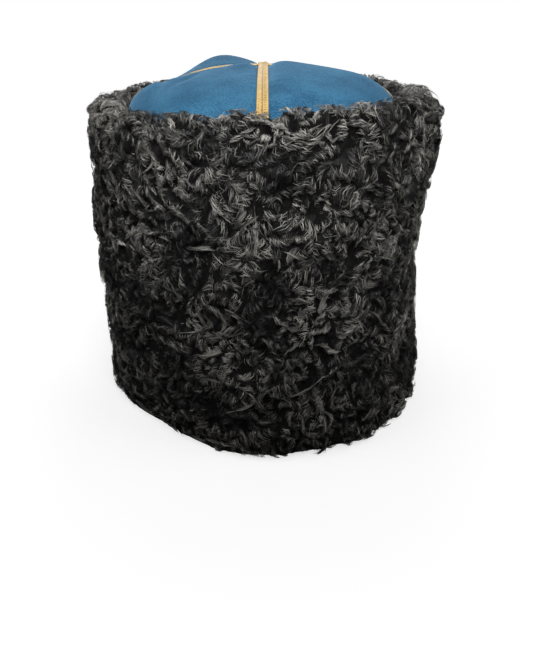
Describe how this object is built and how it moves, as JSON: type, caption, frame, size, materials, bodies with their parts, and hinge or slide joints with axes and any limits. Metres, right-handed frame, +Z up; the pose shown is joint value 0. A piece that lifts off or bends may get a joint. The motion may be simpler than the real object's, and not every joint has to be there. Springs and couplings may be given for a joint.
{
  "type": "karakul hat",
  "caption": "Tall oval hat of curly black karakul with a domed blue cloth crown, crossed by two narrow gold galloons.",
  "frame": {"origin": "under the middle of the outline, on the plane of the lower rim that the hat stands on", "axes": "+Z up, the front of the hat faces -Y, +X to the right when seen from the front"},
  "size_m": [0.2294, 0.256, 0.2078],
  "materials": {
    "karakul": "curled karakul fur, black with grey lights",
    "blue_cloth": "matt fulled wool cloth",
    "gold_galloon": "woven gold braid with a soft shine"
  },
  "bodies": {
    "root": {"karakul_wall": "karakul", "crown_cloth": "blue_cloth", "galloon_side_to_side": "gold_galloon", "galloon_front_to_back": "gold_galloon"}
  },
  "joints": []
}
